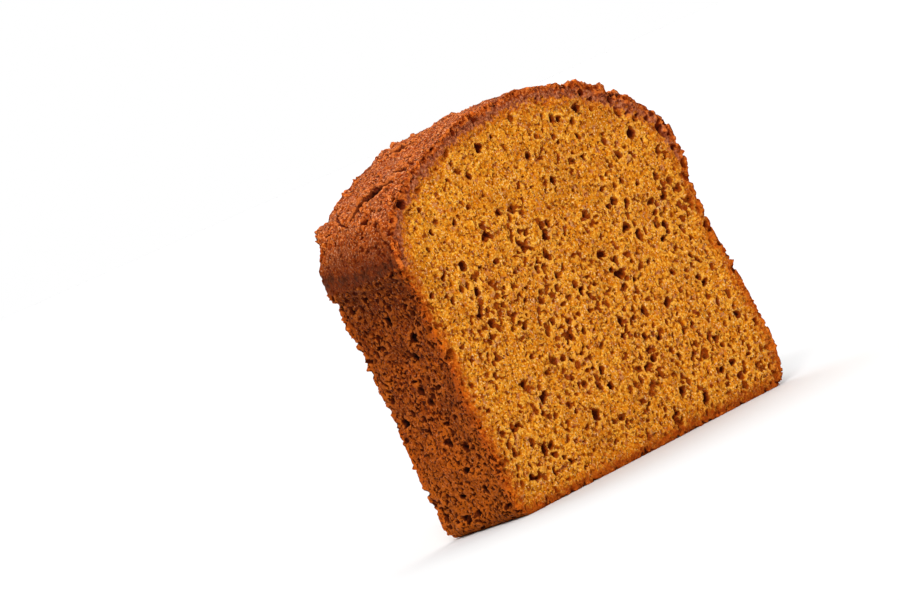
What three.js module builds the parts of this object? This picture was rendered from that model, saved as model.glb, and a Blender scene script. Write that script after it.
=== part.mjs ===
// A slice of honey cake, cut across a loaf that was baked in a tin.
//
// Units are millimetres and +Z is up. The slice stands on its bottom crust. The cut face that
// shows best looks toward -Y, the slice is thick along Y, and its width runs along X. The origin
// is the middle of the bottom crust, under the centre of the slice's box.
//
// The cake was baked as one piece, so the slice is one solid: the outline of the loaf, drawn in
// the XZ plane and extruded along Y.

import * as THREE from "three";

// ---- driving dimensions, mm ----

const sliceThickness = 30;      // along Y, between the two cut faces
const rimWidth = 98.5;          // across the overhanging lips, the widest part
const bottomWidth = 93.5;       // across the bottom crust, before its corners are rounded
const bottomShift = 1.5;        // the bottom's middle lies this far toward +X of the rim's
const bottomCornerRadius = 4;   // where the side crusts turn into the bottom crust
const leftLipHeight = 68;       // the lip's widest point, where the cake rose past the tin's edge
const rightLipHeight = 62;      // the cake rose less on this side
const lipOverhang = 1.4;        // how far each lip stands out past the side crust
const lipDepth = 3.5;           // height of the lip's rounded underside
const crownHeight = 94.5;       // top of the risen crown above the bottom crust
const crownShift = 7.5;         // the crown's highest point lies this far toward +X
const leftCrownFullness = 2.2;  // 2 is an ellipse, and more than 2 fills out the shoulder
const rightCrownFullness = 1.75;  // less than 2 flattens the shoulder into a slope

const crownSteps = 28;          // facets along each half of the crown
const cornerSteps = 6;          // facets around each rounded corner and lip

const crustColour = 0x9a4f22;
const crustRoughness = 0.85;

// ---- the outline of the loaf ----

// Points along a quarter of a superellipse, from its side at (x + radiusX, z) to its end at
// (x, z + radiusZ). A fullness of 2 is a plain ellipse, and a negative radiusZ hangs it below z.
function quarterPoints(x, z, radiusX, radiusZ, fullness, steps) {
  const points = [];
  for (let step = 0; step <= steps; step += 1) {
    const angle = (Math.PI / 2) * (step / steps);
    const across = Math.max(Math.cos(angle), 0) ** (2 / fullness);
    const up = Math.sin(angle) ** (2 / fullness);
    points.push(new THREE.Vector2(x + radiusX * across, z + radiusZ * up));
  }
  return points;
}

// One side of the slice, from the bottom crust up to the crown's highest point. side is +1 for the
// right and -1 for the left, and the left is drawn as a right-hand side and then mirrored.
function sidePoints(side, lipHeight, crownFullness) {
  const rim = rimWidth / 2;
  const bottom = bottomWidth / 2 + side * bottomShift;
  const peak = side * crownShift;
  const corner = quarterPoints(
    bottom - bottomCornerRadius, bottomCornerRadius,
    bottomCornerRadius, -bottomCornerRadius,
    2, cornerSteps,
  );
  const lip = quarterPoints(rim - lipOverhang, lipHeight, lipOverhang, -lipDepth, 2, cornerSteps);
  const crown = quarterPoints(
    peak, lipHeight,
    rim - peak, crownHeight - lipHeight,
    crownFullness, crownSteps,
  );
  const points = [...corner.reverse(), ...lip.reverse(), ...crown.slice(1)];
  return points.map((point) => new THREE.Vector2(side * point.x, point.y));
}

function loafOutline() {
  const right = sidePoints(1, rightLipHeight, rightCrownFullness);
  const left = sidePoints(-1, leftLipHeight, leftCrownFullness).reverse();
  return new THREE.Shape([...right, ...left.slice(1)]);
}

// ---- the slice ----

function cakeSlice() {
  const geometry = new THREE.ExtrudeGeometry(loafOutline(), {
    depth: sliceThickness,
    bevelEnabled: false,
    steps: 1,
  });
  geometry.rotateX(Math.PI / 2);
  geometry.translate(0, sliceThickness / 2, 0);

  const material = new THREE.MeshStandardMaterial({
    color: crustColour,
    roughness: crustRoughness,
    metalness: 0,
  });
  const mesh = new THREE.Mesh(geometry, material);
  mesh.name = "cake_slice";
  return mesh;
}

const group = new THREE.Group();
group.add(cakeSlice());

export default group;
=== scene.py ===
"""A thick slice of honey cake, cut across a loaf and standing on its bottom crust.

The CAD solid gives the slice's plain form. It is remeshed fine and even, and every point of that skin is
then pushed in or drawn out along its own normal: pores and torn crumb on the two cut faces, pits on the
side and bottom crusts, grains and cracks on the risen top, and crumbs along the edges that the knife left.
Lengths are in millimetres until the mesh is written, which is in metres.
"""

import itertools
import math

import bmesh
import bpy
import numpy as np
from mathutils import Matrix, Vector, kdtree


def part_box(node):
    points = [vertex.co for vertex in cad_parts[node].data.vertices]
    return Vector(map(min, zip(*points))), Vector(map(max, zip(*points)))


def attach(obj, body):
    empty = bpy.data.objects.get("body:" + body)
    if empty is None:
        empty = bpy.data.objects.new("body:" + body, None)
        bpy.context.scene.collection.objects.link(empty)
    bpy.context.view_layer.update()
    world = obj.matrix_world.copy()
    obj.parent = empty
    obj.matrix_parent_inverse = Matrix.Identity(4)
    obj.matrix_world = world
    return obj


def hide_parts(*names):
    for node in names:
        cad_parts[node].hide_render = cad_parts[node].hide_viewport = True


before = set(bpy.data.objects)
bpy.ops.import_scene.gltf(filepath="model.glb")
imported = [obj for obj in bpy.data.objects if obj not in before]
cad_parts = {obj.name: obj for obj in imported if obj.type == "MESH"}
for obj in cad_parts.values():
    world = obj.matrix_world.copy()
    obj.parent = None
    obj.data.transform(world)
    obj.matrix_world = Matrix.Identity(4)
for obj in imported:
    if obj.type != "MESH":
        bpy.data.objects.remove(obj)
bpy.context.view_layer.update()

# ---- sizes, mm ----

MM = 0.001
low_corner, high_corner = (np.array(corner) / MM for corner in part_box("cake_slice"))
THICKNESS = high_corner[1] - low_corner[1]
HALF_WIDTH = high_corner[0]
HEIGHT = high_corner[2]

SAME_PLACE = 0.001         # points of the CAD mesh that are this near are one
SKIN_GRID = 0.25           # spacing of the even mesh that the pores are carved in
MOST_TRIANGLES = 198000    # of the finished slice
STEEPEST = 0.22            # how far a point may stand out past the ones beside it, against thin spikes
SEED = 20
NOISE_VALUES = 8192        # random values that a noise draws on, a power of two
NOISE_PRIMES = np.array((73856093, 19349663, 83492791))    # they scatter the noise's cells over its values


def random_numbers(name):
    """A generator of its own for each feature, so that changing one leaves the others as they are."""
    return np.random.default_rng([SEED, *name.encode()])


def ramp(low, high, value):
    """0 at low and below, 1 at high and above, and smooth in between; low may be above high."""
    t = np.clip((value - low) / (high - low), 0, 1)
    return t * t * (3 - 2 * t)


def noise(points, size, name):
    """Smooth random lumps about size mm across, from -1 to 1, at each point."""
    table = random_numbers(name).uniform(-1, 1, NOISE_VALUES)
    cell = np.floor(points / size).astype(np.int64)
    t = points / size - cell
    t = t * t * (3 - 2 * t)
    total = np.zeros(len(points))
    for corner in itertools.product((0, 1), repeat=3):
        key = (cell + corner) @ NOISE_PRIMES
        weight = np.prod(np.where(corner, t, 1 - t), axis=1)
        total += weight * table[(key ^ (key >> 11)) & (NOISE_VALUES - 1)]
    return total


def noise_vectors(points, size, name):
    """The same kind of noise, drawn apart along each axis."""
    return np.stack([noise(points, size, f"{name} {axis}") for axis in "xyz"], axis=1)


# ---- the plain form ----


def vectors(items, key):
    """One vector for each vertex or each value of a mesh, as rows."""
    flat = np.empty(len(items) * 3)
    items.foreach_get(key, flat)
    return flat.reshape(-1, 3)


def give_points(mesh, points):
    """Writes points in mm to the mesh, in metres."""
    mesh.vertices.foreach_set("co", (points * MM).astype(np.float32).ravel())
    mesh.update()


def merged_copy(node):
    """A copy of a CAD node's mesh with its loose triangles joined."""
    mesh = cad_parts[node].data.copy()
    bm = bmesh.new()
    bm.from_mesh(mesh)
    bmesh.ops.remove_doubles(bm, verts=bm.verts, dist=SAME_PLACE * MM)
    bm.to_mesh(mesh)
    bm.free()
    return mesh


def loaf_outline(mesh):
    """The corners of the cut face in the XZ plane, in order round the slice."""
    points = vectors(mesh.vertices, "co") / MM
    corners = points[points[:, 1] < 0][:, [0, 2]]
    spoke = corners - (0, HEIGHT / 2)
    return corners[np.argsort(np.arctan2(spoke[:, 1], spoke[:, 0]))]


def finished_by(mesh, kind, **settings):
    """A new mesh: the given one with one modifier applied."""
    holder = bpy.data.objects.new("holder", mesh)
    bpy.context.scene.collection.objects.link(holder)
    modifier = holder.modifiers.new("finish", kind)
    for name, value in settings.items():
        setattr(modifier, name, value)
    shown = holder.evaluated_get(bpy.context.evaluated_depsgraph_get())
    made = bpy.data.meshes.new_from_object(shown)
    bpy.data.objects.remove(holder)
    return made


class Outline:
    """The loaf's outline, and where points lie against it seen along Y."""

    at_once = 20000        # points measured together, so that the memory suffices

    def __init__(self, corners):
        self.corners = corners
        self.step = np.roll(corners, -1, axis=0) - corners
        self.length = np.linalg.norm(self.step, axis=1)
        self.before = np.concatenate(([0], np.cumsum(self.length)[:-1]))
        self.total = self.length.sum()

    def locate(self, points):
        """For each point, its distance to the outline and how far round it the nearest place is."""
        distance = np.empty(len(points))
        around = np.empty(len(points))
        for part in np.array_split(np.arange(len(points)), max(1, len(points) // self.at_once)):
            away = points[part][:, None, [0, 2]] - self.corners
            along = np.einsum("psk,sk->ps", away, self.step) / self.length**2
            along = np.clip(along, 0, 1)
            gap = away - along[:, :, None] * self.step
            square = np.einsum("psk,psk->ps", gap, gap)
            nearest = square.argmin(axis=1)
            row = np.arange(len(part))
            distance[part] = np.sqrt(square[row, nearest])
            around[part] = self.before[nearest] + along[row, nearest] * self.length[nearest]
        return distance, around


plain = merged_copy("cake_slice")
outline = Outline(loaf_outline(plain))
across_outline, up_outline = outline.corners.T
HALF_BASE = across_outline[up_outline < 1].max()
LEFT_LIP = up_outline[across_outline.argmin()]
RIGHT_LIP = up_outline[across_outline.argmax()]


def swelling(height, middle, spread):
    """1 at the middle height, and fading to nothing within about twice the spread of it."""
    return np.exp(-(((height - middle) / spread) ** 2))


def settled(points):
    """The form as it came from the oven and the knife: fuller on the right at the foot and the shoulder,
    sunk a little half way up the left, and uneven all over except at the base.
    """
    moved = points.copy()
    x, z = points[:, 0], points[:, 2]
    right_side, left_side = ramp(25, 42, x), ramp(-30, -47, x)
    foot = 1.7 * ramp(41, 33, z) + 1.1 * swelling(z, middle=13, spread=8)
    shoulder = 1.3 * swelling(z, middle=76, spread=8)
    waist = 0.8 * swelling(z, middle=40, spread=12)
    moved[:, 0] += (foot + shoulder) * right_side
    moved[:, 0] += waist * left_side
    moved += 0.6 * noise_vectors(points, 17, "settled") * ramp(0, 12, z)[:, None]
    moved += 0.4 * noise_vectors(points, 6.5, "lumpy") * ramp(0, 6, z)[:, None]
    return moved


class Skin:
    """The skin's points at rest, which way is out at each, and how deep each has been pushed in. The plain
    points are those from before the form settled.
    """

    def __init__(self, mesh):
        self.plain = vectors(mesh.vertices, "co") / MM
        self.plain_out = vectors(mesh.vertex_normals, "vector")
        self.inside, self.around = outline.locate(self.plain)
        give_points(mesh, settled(self.plain))
        self.rest = vectors(mesh.vertices, "co") / MM
        self.out = vectors(mesh.vertex_normals, "vector")
        self.depth = np.zeros(len(self.rest))
        self.tree = kdtree.KDTree(len(self.rest))
        for index, point in enumerate(self.rest):
            self.tree.insert(point, index)
        self.tree.balance()

    def nearest(self, places):
        """The skin point that is nearest to each place."""
        return np.array([self.tree.find(place)[1] for place in places])

    def near(self, point, radius):
        """The skin points within a radius of a point."""
        return [index for _, index, _ in self.tree.find_range(point, radius)]


skin_mesh = finished_by(plain, "REMESH", mode="VOXEL", voxel_size=SKIN_GRID * MM)
skin = Skin(skin_mesh)

# ---- the regions of the skin, each a weight from 0 to 1 ----

x, y, z = skin.plain.T
lip_height = np.interp(x, (-HALF_WIDTH, HALF_WIDTH), (LEFT_LIP, RIGHT_LIP))
# the two cut faces, and all the rest, which the oven browned
cut = ramp(0.5, 0.85, np.abs(skin.plain_out[:, 1]))
rind = 1 - cut
# the part that rose above the tin, the bottom and side crusts that baked against it, and the risen crust
risen = ramp(-3, 1, z - lip_height)
under = ramp(-0.4, -0.9, skin.plain_out[:, 2]) * rind
wall = rind * (1 - risen) * (1 - under)
top = rind * risen
# on the cut faces: the crumb, the cut edge of the crust, and a strip a little way under the risen crust
crumb = cut * ramp(0.5, 2.2, skin.inside)
cut_crust = cut * ramp(2.4, 0.6, skin.inside)
below_top = cut * ramp(1, 2.5, skin.inside) * ramp(6, 3.5, skin.inside) * risen
# the crumb is more open low down, and in patches
low_half = ramp(88, 45, z)
patches = ramp(-0.7, 0.7, noise(skin.plain, 9, "patches"))
open_crumb = crumb * (0.3 + 0.7 * low_half) * (0.3 + 0.7 * patches)
open_wall = wall * (0.3 + 0.7 * patches)
# a band of painted shade along the crease at the lip, and how far in mm each point is from the edge of the
# cut
at_lip = ramp(4.5, 0.5, np.abs(z - lip_height - 1 + 1.5 * noise(skin.plain, 6, "at the lip")))
from_knife = np.where(cut > 0.5, skin.inside, THICKNESS / 2 - np.abs(y))

# ---- pores, pits and crumbs ----

# shifts that bend the pores and crumbs out of round
WIDELY_TORN, FINELY_TORN = 0.45, 0.25
torn = WIDELY_TORN * noise_vectors(skin.plain, 1.4, "torn")
torn += FINELY_TORN * noise_vectors(skin.plain, 0.65, "finely torn")


def random_turns(count, rng):
    """One random rotation matrix for each bubble."""
    q = rng.normal(size=(count, 4))
    q /= np.linalg.norm(q, axis=1)[:, None]
    w, i, j, k = q.T
    rows = [
        [1 - 2 * (j * j + k * k), 2 * (i * j - k * w), 2 * (i * k + j * w)],
        [2 * (i * j + k * w), 1 - 2 * (i * i + k * k), 2 * (j * k - i * w)],
        [2 * (i * k - j * w), 2 * (j * k + i * w), 1 - 2 * (i * i + j * j)],
    ]
    return np.moveaxis(np.array(rows), 2, 0)


def bubbles_at(at, size, rng, sunk, stretch, tall):
    """Bubbles at chosen points of the skin, as the points, the centres, the turns that make each bubble
    a unit ball, and how far each reaches.

    sunk is how far below the skin their centres lie, as a share of the size. Each is stretched by up to
    that much and turned at random, and then drawn out upwards as the batter rose.
    """
    down = size * rng.uniform(*sunk, len(at))
    centre = skin.rest[at] - skin.out[at] * down[:, None]
    scale = rng.uniform(1 / stretch, stretch, (len(at), 3)) * size[:, None]
    into = random_turns(len(at), rng) / scale[:, :, None] / (1, 1, tall)
    return at, centre, into, scale.max(axis=1) * tall


def bubbles(name, where, per_cm2, radius, sunk, stretch, tall=1.0):
    """Random bubbles, as common as the weight says, and most of them near the smallest radius."""
    rng = random_numbers(name)
    count = int(SKIN_GRID**2 * where.sum() / 100 * per_cm2)
    at = rng.choice(len(where), count, p=where / where.sum())
    size = radius[0] + (radius[1] - radius[0]) * rng.random(count) ** 2
    return bubbles_at(at, size, rng, sunk, stretch, tall)


def crossings(at, centre, into, reach):
    """The skin points whose way in crosses a bubble, and the depths at which each enters and leaves it."""
    who, which = [], []
    for bubble, point in enumerate(at):
        found = skin.near(skin.rest[point], reach[bubble] + WIDELY_TORN + FINELY_TORN)
        who.extend(found)
        which.extend([bubble] * len(found))
    who, which = np.array(who), np.array(which)
    # each way in is a line, which crosses the unit ball at the two roots of a quadratic
    start = np.einsum("pij,pj->pi", into[which], skin.rest[who] + torn[who] - centre[which])
    step = np.einsum("pij,pj->pi", into[which], -skin.out[who])
    a = np.einsum("pi,pi->p", step, step)
    b = np.einsum("pi,pi->p", start, step)
    discriminant = b * b - a * (np.einsum("pi,pi->p", start, start) - 1)
    hit = discriminant > 0
    root = np.sqrt(discriminant[hit])
    return who[hit], (-b[hit] - root) / a[hit], (-b[hit] + root) / a[hit]


def carve(pores, deepest):
    """Pushes the skin in to the far wall of every pore that it opens, and of the pores behind those, but
    never further than the deepest.
    """
    who, enters, leaves = crossings(*pores)
    leaves = np.minimum(leaves, deepest)
    thinnest_wall = 0.02   # pores with less than this between them have run together
    in_a_row = 3           # pores that may open one behind another
    for _ in range(in_a_row):
        opened = (enters <= skin.depth[who] + thinnest_wall) & (leaves > skin.depth[who])
        np.maximum.at(skin.depth, who[opened], leaves[opened])


def pile(crumbs):
    """Draws the skin out to the outer side of every crumb that sits on it."""
    who, enters, _ = crossings(*crumbs)
    lift = np.zeros(len(skin.depth))
    np.minimum.at(lift, who, enters)
    skin.depth += lift


# the largest holes in the front cut face, by their place across and up it and their radius
large_holes = (
    (-11, 85.5, 1.3), (34.5, 79, 1.1), (36, 73, 1.2), (45, 71, 1.0), (26, 67.5, 0.7),
    (-20, 67.5, 0.9), (-30, 61, 1.0), (40.5, 48, 1.0), (32, 50, 1.0), (24.5, 31, 1.0),
    (39.5, 25.5, 0.9), (17, 9.5, 1.1), (-29.5, 12, 1.2), (-16, 31, 0.9), (3, 40, 0.7),
    (47.5, 60.5, 1.0),
)
hole_places = skin.nearest((across, -THICKNESS / 2, up) for across, up, _ in large_holes)
hole_sizes = np.array([radius for *_, radius in large_holes])
rng = random_numbers("large holes")
carve(bubbles_at(hole_places, hole_sizes, rng, sunk=(0, 0.4), stretch=1.2, tall=1.3), deepest=3.0)
# all the others: where they are, how many to a square cm, their radius, how far their centres are sunk,
# how much they are drawn out upwards and how deep they may go
for name, where, per_cm2, radius, sunk, tall, deepest in (
    ("holes", open_crumb, 1.6, (0.6, 1.2), (-0.1, 0.5), 1.2, 2.8),
    ("pores", open_crumb, 36, (0.36, 0.92), (-0.1, 0.5), 1.15, 2.2),
    ("fine pores", crumb, 120, (0.2, 0.4), (-0.3, 0.5), 1.0, 1.3),
    ("holes under the top", below_top, 2.5, (0.6, 1.3), (0, 0.6), 1.0, 2.4),
    ("rim pores", cut_crust, 45, (0.28, 0.7), (-0.2, 0.6), 1.0, 1.4),
    ("wall holes", open_wall, 11, (0.45, 1.05), (-0.1, 0.3), 1.0, 2.2),
    ("wall pits", wall, 85, (0.24, 0.52), (-0.2, 0.5), 1.0, 1.3),
    ("top pits", top, 22, (0.3, 0.75), (-0.3, 0.5), 1.0, 1.2),
    ("bottom pits", under, 40, (0.3, 0.8), (-0.6, 0.2), 1.0, 0.9),
):
    carve(bubbles(name, where, per_cm2, radius, sunk, stretch=1.4, tall=tall), deepest)
carved = skin.depth.copy()

# where the risen crust starts and ends on the way round the outline
top_around = skin.around[top > 0.9]
right_lip, left_lip = top_around.min(), top_around.max()


def crack(share, start, end, lean, width, depth):
    """Opens a fissure in the risen crust, which runs from start to end along Y and closes up towards both,
    and gives how deep it is at each point. It begins at that share of the way from the right lip to the
    left one, and leans so much towards the left one for each mm along Y. The crust on either side of it is
    lifted a little.
    """
    along = np.clip((y - start) / (end - start), 0, 1)
    gape = np.sqrt(4 * along * (1 - along))
    line = right_lip + share * (left_lip - right_lip) + lean * (y - start)
    line += 1.3 * noise(skin.plain, 4.5, f"crack {share}")
    line += 0.6 * noise(skin.plain, 1.6, f"torn {share}")
    ragged = 0.6 * noise(skin.plain, 1.3, f"edge {share}")
    ragged += 0.3 * noise(skin.plain, 0.7, f"tooth {share}")
    closed = 0.001         # the width that is left at its two ends
    off = (np.abs(skin.around - line) + ragged) / (width * gape + closed)
    fissure = top * gape * depth * ramp(1, 0.35, off)
    skin.depth += fissure - 0.6 * top * gape * ramp(4, 1.2, off)
    return fissure


# the one that gapes comes first, and the others are finer
for share, start, end, lean, width, depth in (
    (0.803, -10, 2.5, 0.72, 2.5, 3.6),
    (0.712, -9.5, -2.5, 0.5, 1.2, 1.8),
    (0.765, -12.5, -7, 0.4, 1.1, 1.6),
    (0.89, 3, 11, -0.7, 0.8, 1.1),
    (0.63, -2, 12, 0.6, 0.9, 1.3),
    (0.45, -12, -1, -0.6, 0.8, 1.1),
    (0.28, 1, 11, 0.7, 0.8, 1.1),
):
    carved += crack(share, start, end, lean, width, depth)

# where the edges of the cut are ragged, and where crumbs of the risen crust broke away along them
ragged_edges = ramp(-0.6, 0.4, noise(skin.plain, 7, "broken edge")) * ramp(1.8, 0.2, from_knife)
near_edge = rind * ramp(4.0, 1.0, from_knife) + cut * ramp(2.4, 1.2, skin.inside)
broken_top = risen * near_edge * ramp(-0.5, 0.3, noise(skin.plain, 9, "broken top"))
# lumps on the foot of the left side crust, by their place and radius
low_lumps = ((-HALF_BASE, 9, 2.6, 2.6), (-HALF_BASE, 1.5, 2.4, 2.3), (-HALF_BASE, -9, 4.5, 2.8))
lump_places = skin.nearest(place for *place, _ in low_lumps)
lump_sizes = np.array([radius for *_, radius in low_lumps])
rng = random_numbers("low lumps")
pile(bubbles_at(lump_places, lump_sizes, rng, sunk=(0.5, 0.7), stretch=1.25, tall=1.0))

# crumbs along the edges of the cut, which have the colour of broken crust, and then crumbs everywhere:
# where they are, how many to a square cm, their radius and how far their centres are sunk
before = skin.depth.copy()
for name, where, per_cm2, radius, sunk, stretch in (
    ("edge crumbs", ragged_edges * (0.3 + 0.7 * risen), 40, (0.3, 0.75), (0.2, 0.6), 1.25),
    ("rim crumbs", cut * ramp(2.0, 0.5, skin.inside), 22, (0.25, 0.6), (0.1, 0.6), 1.25),
    ("broken top", broken_top, 12, (0.5, 1.1), (0.25, 0.7), 1.2),
):
    pile(bubbles(name, where, per_cm2, radius, sunk, stretch))
proud = before - skin.depth
for name, where, per_cm2, radius, sunk in (
    ("scattered crumbs", crumb, 12, (0.22, 0.55), (0.2, 0.7)),
    ("wall crumbs", wall, 18, (0.25, 0.6), (0.4, 0.85)),
    ("top crumbs", top, 26, (0.3, 0.8), (0.4, 0.85)),
):
    pile(bubbles(name, where, per_cm2, radius, sunk, stretch=1.25))

# uneven all over, and more so on the soft crumb: where each kind is, how far it departs and its size. The
# swells of the top are longer along Y, and broken crust stands up in lumps and is missing in notches.
softness = 1 - 0.45 * rind
drawn_out = skin.plain * (1, 0.6, 1)
for name, where, height, size, points in (
    ("rough", softness, 0.15, 0.8, skin.plain),
    ("rougher", softness, 0.1, 0.5, skin.plain),
    ("grains", top, 0.14, 1.3, skin.plain),
    ("blisters", top, 0.5, 3.2, skin.plain),
    ("swells", top, 0.75, 6.5, drawn_out),
    ("wall grains", wall, 0.1, 1.1, skin.plain),
    ("wall lumps", wall, 0.35, 3.4, skin.plain),
    ("cut crust", cut_crust, 0.25, 1.8, skin.plain),
):
    skin.depth += where * height * noise(points, size, name)
skin.depth -= broken_top * 1.15 * ramp(-0.05, 0.55, noise(skin.plain, 2.6, "top lumps"))
skin.depth += broken_top * 0.9 * ramp(0.15, 0.6, noise(skin.plain, 3.4, "top notches"))


def neighbour_mean(mesh, values, rounds):
    """Each value replaced by the mean of those at the points beside it, that many times over."""
    ends = np.empty(len(mesh.edges) * 2, np.int32)
    mesh.edges.foreach_get("vertices", ends)
    one, other = ends.reshape(-1, 2).T
    count = np.bincount(ends, minlength=len(values))
    for _ in range(rounds):
        total = np.bincount(one, values[other], len(values)) + np.bincount(other, values[one], len(values))
        values = total / count
    return values


# thin spikes are taken down, and then each point's hollow is how deep it lies below the skin around it
for _ in range(2):
    skin.depth = np.maximum(skin.depth, neighbour_mean(skin_mesh, skin.depth, rounds=1) - STEEPEST)
hollow = skin.depth - neighbour_mean(skin_mesh, skin.depth, rounds=12)
finished = skin.rest - skin.out * skin.depth[:, None]
finished[:, 2] = np.maximum(finished[:, 2], 0)
give_points(skin_mesh, finished)


def store(mesh, name, values):
    """Keeps a value for each point, for the material to read."""
    kind, key = ("FLOAT", "value") if values.ndim == 1 else ("FLOAT_VECTOR", "vector")
    mesh.attributes.new(name, kind, "POINT").data.foreach_set(key, values.astype(np.float32).ravel())


for name, values in {
    "pit": np.maximum(carved, 0), "hollow": hollow, "inside": skin.inside, "from_knife": from_knife,
    "cut": cut, "risen": risen, "at_lip": at_lip, "proud": proud, "plain": skin.plain,
}.items():
    store(skin_mesh, name, values)

skin_mesh.calc_loop_triangles()
cake_mesh = finished_by(
    skin_mesh, "DECIMATE",
    ratio=MOST_TRIANGLES / len(skin_mesh.loop_triangles), use_collapse_triangulate=True,
)


def map_for_baking(mesh):
    """The UV map that the part is baked on. It lays the skin out flat as it was before it was carved: the
    two cut faces side by side, and above them the crust in two strips that each go half way round.
    """
    apart = 1.5            # mm between the islands
    cut_from = 0.7         # a triangle that faces this much along Y is on a cut face
    corners = np.empty(len(mesh.loops), np.int32)
    mesh.loops.foreach_get("vertex_index", corners)
    corners = corners.reshape(-1, 3)
    spots = vectors(mesh.attributes["plain"].data, "vector")
    inside, around = (values[corners] for values in outline.locate(spots))
    across, along_y, up = np.moveaxis(spots[corners], 2, 0)
    first, second, third = np.moveaxis(spots[corners], 1, 0)
    normal = np.cross(second - first, third - first)
    is_cut = np.abs(normal[:, 1]) > cut_from * np.linalg.norm(normal, axis=1)
    is_back = along_y.mean(axis=1) > 0

    half_way = outline.total / 2
    crosses_start = np.ptp(around, axis=1) > half_way
    around += outline.total * (crosses_start[:, None] & (around < half_way))
    second_half = around.mean(axis=1) > half_way
    width = 2 * HALF_WIDTH
    side = 2 * width + 3 * apart
    from_left = np.where(is_back[:, None], width + apart + HALF_WIDTH - across, HALF_WIDTH + across)
    strip_u = around - second_half[:, None] * half_way
    strip_v = THICKNESS / 2 - along_y - np.sign(along_y) * inside
    strip_v += HEIGHT + 2 * apart + second_half[:, None] * (THICKNESS + 2 * apart)
    u = np.where(is_cut[:, None], from_left, strip_u)
    v = np.where(is_cut[:, None], up, strip_v)
    places = (np.stack([u, v], axis=2) + apart) / side
    layer = mesh.uv_layers.new(name="OFBake")
    layer.uv.foreach_set("vector", places.astype(np.float32).ravel())


map_for_baking(cake_mesh)
cake_mesh.shade_smooth()
cake = bpy.data.objects.new("cake", cake_mesh)
bpy.context.scene.collection.objects.link(cake)

# ---- materials ----


def colour(code):
    """A linear RGBA colour from an sRGB hex value such as "C57421"."""
    channels = [int(code[i:i + 2], 16) / 255 for i in (0, 2, 4)]
    linear = [c / 12.92 if c <= 0.04045 else ((c + 0.055) / 1.055) ** 2.4 for c in channels]
    return (*linear, 1)


def add(tree, kind, sockets=(), **settings):
    """Adds a node with its settings, and gives each named socket a value or another node's output."""
    node = tree.nodes.new("ShaderNode" + kind)
    for name, value in settings.items():
        setattr(node, name, value)
    for name, value in dict(sockets).items():
        if isinstance(value, bpy.types.NodeSocket):
            tree.links.new(value, node.inputs[name])
        else:
            node.inputs[name].default_value = value
    return node


def empty_material(name):
    """A new material and its node tree, which has no nodes yet."""
    material = bpy.data.materials.new(name)
    material.use_nodes = True
    material.node_tree.nodes.clear()
    return material, material.node_tree


def stained(tree, under, stains):
    """A colour with each stain laid over it in turn: a mask, the values where it starts and is full,
    how much of the stain shows where it is full, and its colour or another layer. On a mix of colours,
    socket 0 is the amount, and 6 and 7 are the two colours.
    """
    for mask, start, full, most, stain in stains:
        amount = add(tree, "MapRange", {
            "Value": mask, "From Min": start, "From Max": full, "To Max": most,
        }, interpolation_type="SMOOTHSTEP")
        tint = colour(stain) if isinstance(stain, str) else stain
        mix = add(tree, "Mix", {0: amount.outputs["Result"], 6: under, 7: tint}, data_type="RGBA")
        under = mix.outputs[2]
    return under


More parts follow.
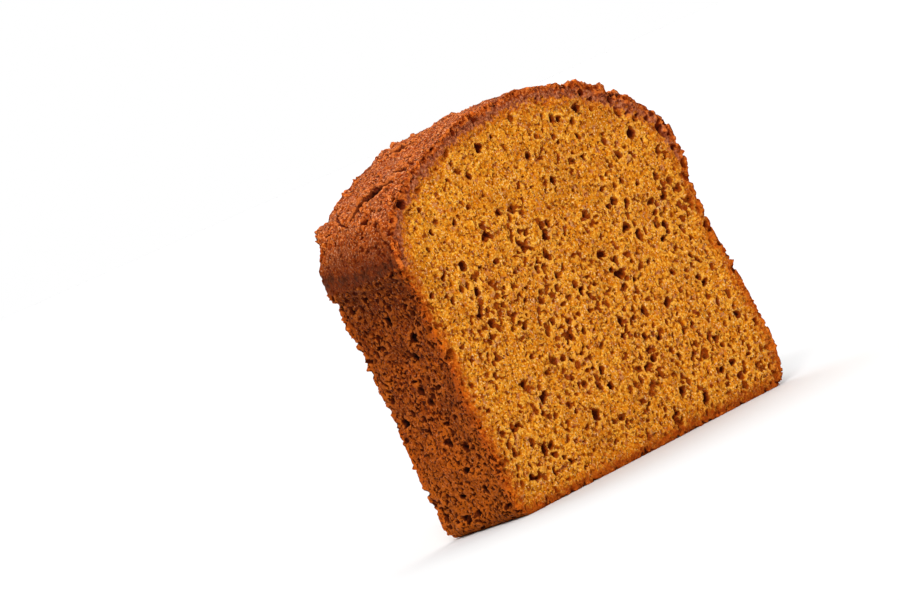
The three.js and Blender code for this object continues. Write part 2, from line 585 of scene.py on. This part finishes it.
def honey_cake():
    """Baked honey cake: an open crumb torn matt by the knife, inside a thin browned crust."""
    material, tree = empty_material("baked honey cake")

    place = add(tree, "TexCoord").outputs["Object"]
    mm = add(tree, "VectorMath", {0: place, "Scale": 1 / MM}, operation="SCALE").outputs["Vector"]
    upright = add(tree, "VectorMath", {0: mm, 1: (1, 1, 0.8)}, operation="MULTIPLY").outputs["Vector"]
    pit, hollow, inside, from_knife, cut, risen, at_lip, proud = (
        add(tree, "Attribute", attribute_name=name).outputs["Fac"]
        for name in ("pit", "hollow", "inside", "from_knife", "cut", "risen", "at_lip", "proud")
    )

    # patterns, by the size in mm of one lump, how many finer layers it has and how strong they are
    grain, glint_speck, pinholes, torn, dots, blotch, patch, cloud = (
        add(tree, "TexNoise", {
            "Vector": vector, "Scale": 1 / size, "Detail": detail, "Roughness": strength,
        }).outputs["Fac"]
        for vector, size, detail, strength in (
            (mm, 0.62, 1.5, 0.55),         # grain
            # the next pattern gives painted glints
            (mm, 0.42, 0.0, 0.5),          # speck
            (mm, 0.75, 0.0, 0.5),          # pinholes
            (upright, 1.5, 3.0, 0.65),     # torn
            (upright, 0.8, 1.0, 0.5),      # dots
            (mm, 1.9, 2.0, 0.55),          # blotch
            (mm, 4.5, 2.0, 0.5),           # patch
            (mm, 10.0, 1.0, 0.5),          # cloud
        )
    )
    # the height in mm, and edges of the painted shade in pores and of the painted shade band at the lip,
    # that the patterns make ragged
    up = add(tree, "SeparateXYZ", {0: mm}).outputs["Z"]
    ragged_pit_shade = add(tree, "Math", {0: grain, 1: 0.8, 2: pit}, operation="MULTIPLY_ADD").outputs["Value"]
    ragged_lip_shade = add(tree, "Math", {0: torn, 1: at_lip}, operation="MULTIPLY").outputs["Value"]

    # the crumb: honey gold and amber where it is dense, with painted highlights on raised grains, and
    # painted shade down in the pores
    crumb = stained(tree, colour("DA8006"), (
        (grain, 0.50, 0.68, 0.9, "FFBE46"), (grain, 0.50, 0.33, 0.7, "B05402"),
        (blotch, 0.52, 0.66, 0.5, "C05A04"), (blotch, 0.48, 0.36, 0.4, "E69A2C"),
        (patch, 0.50, 0.66, 0.35, "BC5E08"), (cloud, 0.52, 0.68, 0.3, "B0610A"),
        # lighter where the skin stands above the points around it: painted highlight on raised crumb; then
        # painted glints
        (hollow, -0.02, -0.25, 0.45, "F6B348"), (glint_speck, 0.66, 0.77, 0.55, "FFD89C"),
        (blotch, 0.60, 0.70, 0.35, "B88A6C"),
        # dots, tears and pits: painted shade in the small and large pores, darkest where they are deepest
        (dots, 0.61, 0.66, 0.75, "822800"), (torn, 0.61, 0.66, 0.75, "842A00"),
        (ragged_pit_shade, 0.60, 0.90, 0.9, "8A3000"), (ragged_pit_shade, 1.0, 1.6, 0.94, "3E0A00"),
        (ragged_pit_shade, 1.7, 2.4, 0.9, "1C0200"),
    ))

    # loose crumbs along the cut edges: brighter orange, where the thin crust broke
    loose_crumbs = stained(tree, colour("C2540C"), (
        (grain, 0.50, 0.66, 0.85, "F68C36"), (grain, 0.50, 0.35, 0.85, "862400"),
        # painted shade in small pores
        (dots, 0.60, 0.66, 0.7, "6A1800"),
    ))

    # the crust as the knife cut it: amber beside the walls, orange-red and then mauve under the risen top;
    # wavy is how many mm it is into the slice from its outline, plus waves that add 4.5 on average
    wavy = add(tree, "Math", {0: torn, 1: 9.0, 2: inside}, operation="MULTIPLY_ADD").outputs["Value"]
    mauve = stained(tree, colour("9A5638"), (
        (grain, 0.50, 0.68, 0.7, "C48464"), (grain, 0.48, 0.35, 0.7, "6A2A1A"),
    ))
    side_cut = stained(tree, colour("B85208"), (
        (grain, 0.50, 0.68, 0.8, "E6822A"), (grain, 0.48, 0.35, 0.8, "8A2A00"),
        (blotch, 0.50, 0.64, 0.7, "9A3E06"), (patch, 0.49, 0.37, 0.6, "DE6C10"),
        (up, 4.0, 1.0, 0.6, "8E3A08"),
    ))
    top_cut = stained(tree, colour("A8460C"), (
        (grain, 0.50, 0.68, 0.75, "DC7C3A"), (grain, 0.48, 0.35, 0.85, "6C1E00"),
        # lighter on raised points and darker in hollows: painted highlight and painted shade
        (hollow, -0.03, -0.3, 0.6, "F07C2E"), (hollow, 0.04, 0.3, 0.75, "6A1800"),
        (wavy, 5.6, 6.6, 0.7, mauve), (blotch, 0.56, 0.66, 0.5, "7A2A0A"),
    ))
    cut_crust = stained(tree, side_cut, (
        # the torn marks and the pits are painted shade in tears and pores
        (risen, 0.2, 0.9, 1.0, top_cut), (torn, 0.58, 0.64, 0.8, "6A1A00"),
        (ragged_pit_shade, 0.60, 1.0, 0.85, "6C1C00"), (ragged_pit_shade, 1.2, 2.0, 0.9, "340600"),
        (proud, 0.15, 0.45, 0.75, loose_crumbs),
    ))

    # the crust: porous brown walls, and a finer, redder risen top with paler grains
    walls = stained(tree, colour("943C00"), (
        (grain, 0.50, 0.66, 0.75, "CC6A22"), (grain, 0.50, 0.36, 0.85, "581600"),
        (blotch, 0.50, 0.64, 0.5, "74320C"), (cloud, 0.48, 0.62, 0.45, "6A3010"),
        (patch, 0.48, 0.36, 0.6, "B8580C"), (up, 34, 4, 0.45, "B85C10"), (up, 40, 66, 0.65, "4C1A04"),
        # painted glints
        (glint_speck, 0.70, 0.80, 0.35, "D09A74"),
        (from_knife, 3.0, 0.5, 0.45, "CC5A10"),
        # lighter on raised points and darker in hollows: painted highlight and painted shade
        (hollow, -0.03, -0.25, 0.5, "C86822"), (hollow, 0.05, 0.3, 0.7, "481000"),
        # pinholes, tears and pits: painted shade in holes, near black in the deepest
        (pinholes, 0.63, 0.68, 0.85, "300800"), (torn, 0.62, 0.66, 0.7, "401000"),
        (ragged_pit_shade, 0.5, 0.8, 0.9, "420F00"), (ragged_pit_shade, 0.9, 1.4, 0.95, "140200"),
    ))
    tops = stained(tree, colour("A84608"), (
        (grain, 0.50, 0.68, 0.8, "DE7E38"), (grain, 0.50, 0.34, 0.85, "6C1E00"),
        # the paler specks here are painted glints
        (patch, 0.50, 0.62, 0.5, "9A522C"), (glint_speck, 0.61, 0.74, 0.65, "F0B080"),
        # lighter on raised points: painted highlight
        (blotch, 0.54, 0.66, 0.6, "7A2E0C"), (hollow, -0.03, -0.3, 0.45, "E87C34"),
        # darker low on the risen top: painted shade where it turns down towards the walls; darker in
        # hollows: painted shade
        (up, 82, 69, 0.85, "642408"), (hollow, 0.04, 0.3, 0.75, "5E1800"),
        # dots, tears and pits: painted shade in small pores and pits
        (dots, 0.60, 0.66, 0.75, "4C1000"), (torn, 0.62, 0.67, 0.75, "541200"),
        (ragged_pit_shade, 0.65, 1.0, 0.85, "541200"), (ragged_pit_shade, 1.2, 1.9, 0.92, "220400"),
    ))
    crust = stained(tree, walls, (
        # a dark band of painted shade along the crease where the risen top meets the walls
        (risen, 0.2, 0.8, 1.0, tops), (ragged_lip_shade, 0.36, 0.56, 0.7, "4A2412"),
        (proud, 0.15, 0.45, 0.75, loose_crumbs),
    ))

    # the crust is thin beside the walls and thicker under the risen top, and the crumb starts past it
    thickness = add(tree, "MapRange", {"Value": risen, "To Min": 1.6, "To Max": 3.5}).outputs["Result"]
    into_crumb = add(tree, "Math", {0: wavy, 1: thickness}, operation="SUBTRACT").outputs["Value"]
    toasted = stained(tree, crumb, ((into_crumb, 7.6, 4.6, 0.65, side_cut),))
    face = stained(tree, cut_crust, ((into_crumb, 4.0, 5.0, 1.0, toasted),))
    base = stained(tree, crust, ((cut, 0.3, 0.6, 1.0, face),))

    # relief: grains, and darker dots and tears sunk between them, a fraction of a millimetre deep
    dents = stained(tree, (0, 0, 0, 1), (
        (torn, 0.58, 0.66, 0.4, "FFFFFF"), (dots, 0.60, 0.66, 0.35, "FFFFFF"),
    ))
    relief = add(tree, "Math", {0: grain, 1: dents}, operation="SUBTRACT").outputs["Value"]
    bump = add(tree, "Bump", {"Height": relief, "Distance": 0.5 * MM, "Strength": 1.0}).outputs["Normal"]

    roughness = add(tree, "MapRange", {
        "Value": blotch, "From Min": 0.35, "From Max": 0.7, "To Min": 0.5, "To Max": 0.8,
    }).outputs["Result"]
    shader = add(tree, "BsdfPrincipled", {
        "Base Color": base, "Roughness": roughness, "Normal": bump, "IOR": 1.45,
        "Specular IOR Level": 0.05,
    })
    add(tree, "OutputMaterial", {"Surface": shader.outputs["BSDF"]})
    return material


def white_paint():
    """Matt white emulsion on the studio floor, which scatters the light evenly."""
    material, tree = empty_material("matt white paint")
    shader = add(tree, "BsdfDiffuse", {"Color": colour("DCDCDC")})
    add(tree, "OutputMaterial", {"Surface": shader.outputs["BSDF"]})
    return material


def lit_screen():
    """An evenly lit white screen, far behind everything."""
    material, tree = empty_material("lit screen")
    shader = add(tree, "Emission", {"Color": colour("FFFFFF")})
    add(tree, "OutputMaterial", {"Surface": shader.outputs["Emission"]})
    return material


cake_mesh.materials.clear()
cake_mesh.materials.append(honey_cake())
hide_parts("cake_slice")
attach(cake, "root")

# ---- studio ----

STUDIO_RADIUS = 5.0        # m
VIEW_AZIMUTH, VIEW_ELEVATION, VIEW_ROLL = -38.85, 2.5, -23.83    # degrees
VIEW_DISTANCE = 1.5993     # m
VIEW_TARGET = Vector((-26.28, 0, 54.2)) * MM
VIEW_LENS = 262.4          # mm
SKY_STRENGTH = 0.55


def direction(azimuth, elevation):
    """Towards a place seen from the slice: azimuth 0 is in front of it, and 90 on its right."""
    a, e = math.radians(azimuth), math.radians(elevation)
    return Vector((math.sin(a) * math.cos(e), -math.cos(a) * math.cos(e), math.sin(e)))


def facing(away, roll=0):
    """The turn of a camera or a lamp that looks back from that direction."""
    level = (-away).to_track_quat("-Z", "Y")
    return level @ Matrix.Rotation(math.radians(roll), 3, "Z").to_quaternion()


def put_in_scene(name, data):
    """A new object in the scene that shows a mesh, a lamp or a camera."""
    made = bpy.data.objects.new(name, data)
    bpy.context.scene.collection.objects.link(made)
    return made


def sun(name, azimuth, elevation, strength, softness):
    """A distant lamp whose softness is the angle that it spans."""
    data = bpy.data.lights.new(name, "SUN")
    data.energy = strength
    data.angle = math.radians(softness)
    lamp = put_in_scene(name, data)
    lamp.rotation_mode = "QUATERNION"
    lamp.rotation_quaternion = facing(direction(azimuth, elevation))


def staged(name, material, make, **sizes):
    """A floor or a backdrop from one bmesh shape."""
    mesh = bpy.data.meshes.new(name)
    bm = bmesh.new()
    make(bm, **sizes)
    bm.to_mesh(mesh)
    bm.free()
    mesh.materials.append(material)
    piece = put_in_scene(name, mesh)
    return piece


lens = bpy.data.cameras.new("camera")
lens.lens = VIEW_LENS
lens.clip_start, lens.clip_end = 0.05, 100
camera = put_in_scene("camera", lens)
toward_camera = direction(VIEW_AZIMUTH, VIEW_ELEVATION)
camera.location = VIEW_TARGET + VIEW_DISTANCE * toward_camera
camera.rotation_mode = "QUATERNION"
camera.rotation_quaternion = facing(toward_camera, VIEW_ROLL)
bpy.context.scene.camera = camera

staged("floor", white_paint(), bmesh.ops.create_circle, segments=64, radius=STUDIO_RADIUS, cap_ends=True)
screen = staged("screen", lit_screen(), bmesh.ops.create_icosphere, subdivisions=4, radius=STUDIO_RADIUS)
# the screen backs the view, and lights nothing
screen.visible_diffuse = screen.visible_glossy = screen.visible_shadow = False

world = bpy.data.worlds.new("studio")
world.use_nodes = True
sky = world.node_tree.nodes["Background"]
sky.inputs["Color"].default_value = colour("FFFFFF")
sky.inputs["Strength"].default_value = SKY_STRENGTH
bpy.context.scene.world = world
bpy.context.scene.view_settings.view_transform = "Standard"
sun("window", azimuth=-45, elevation=42, strength=2.0, softness=20)
sun("overhead", azimuth=150, elevation=68, strength=1.8, softness=50)
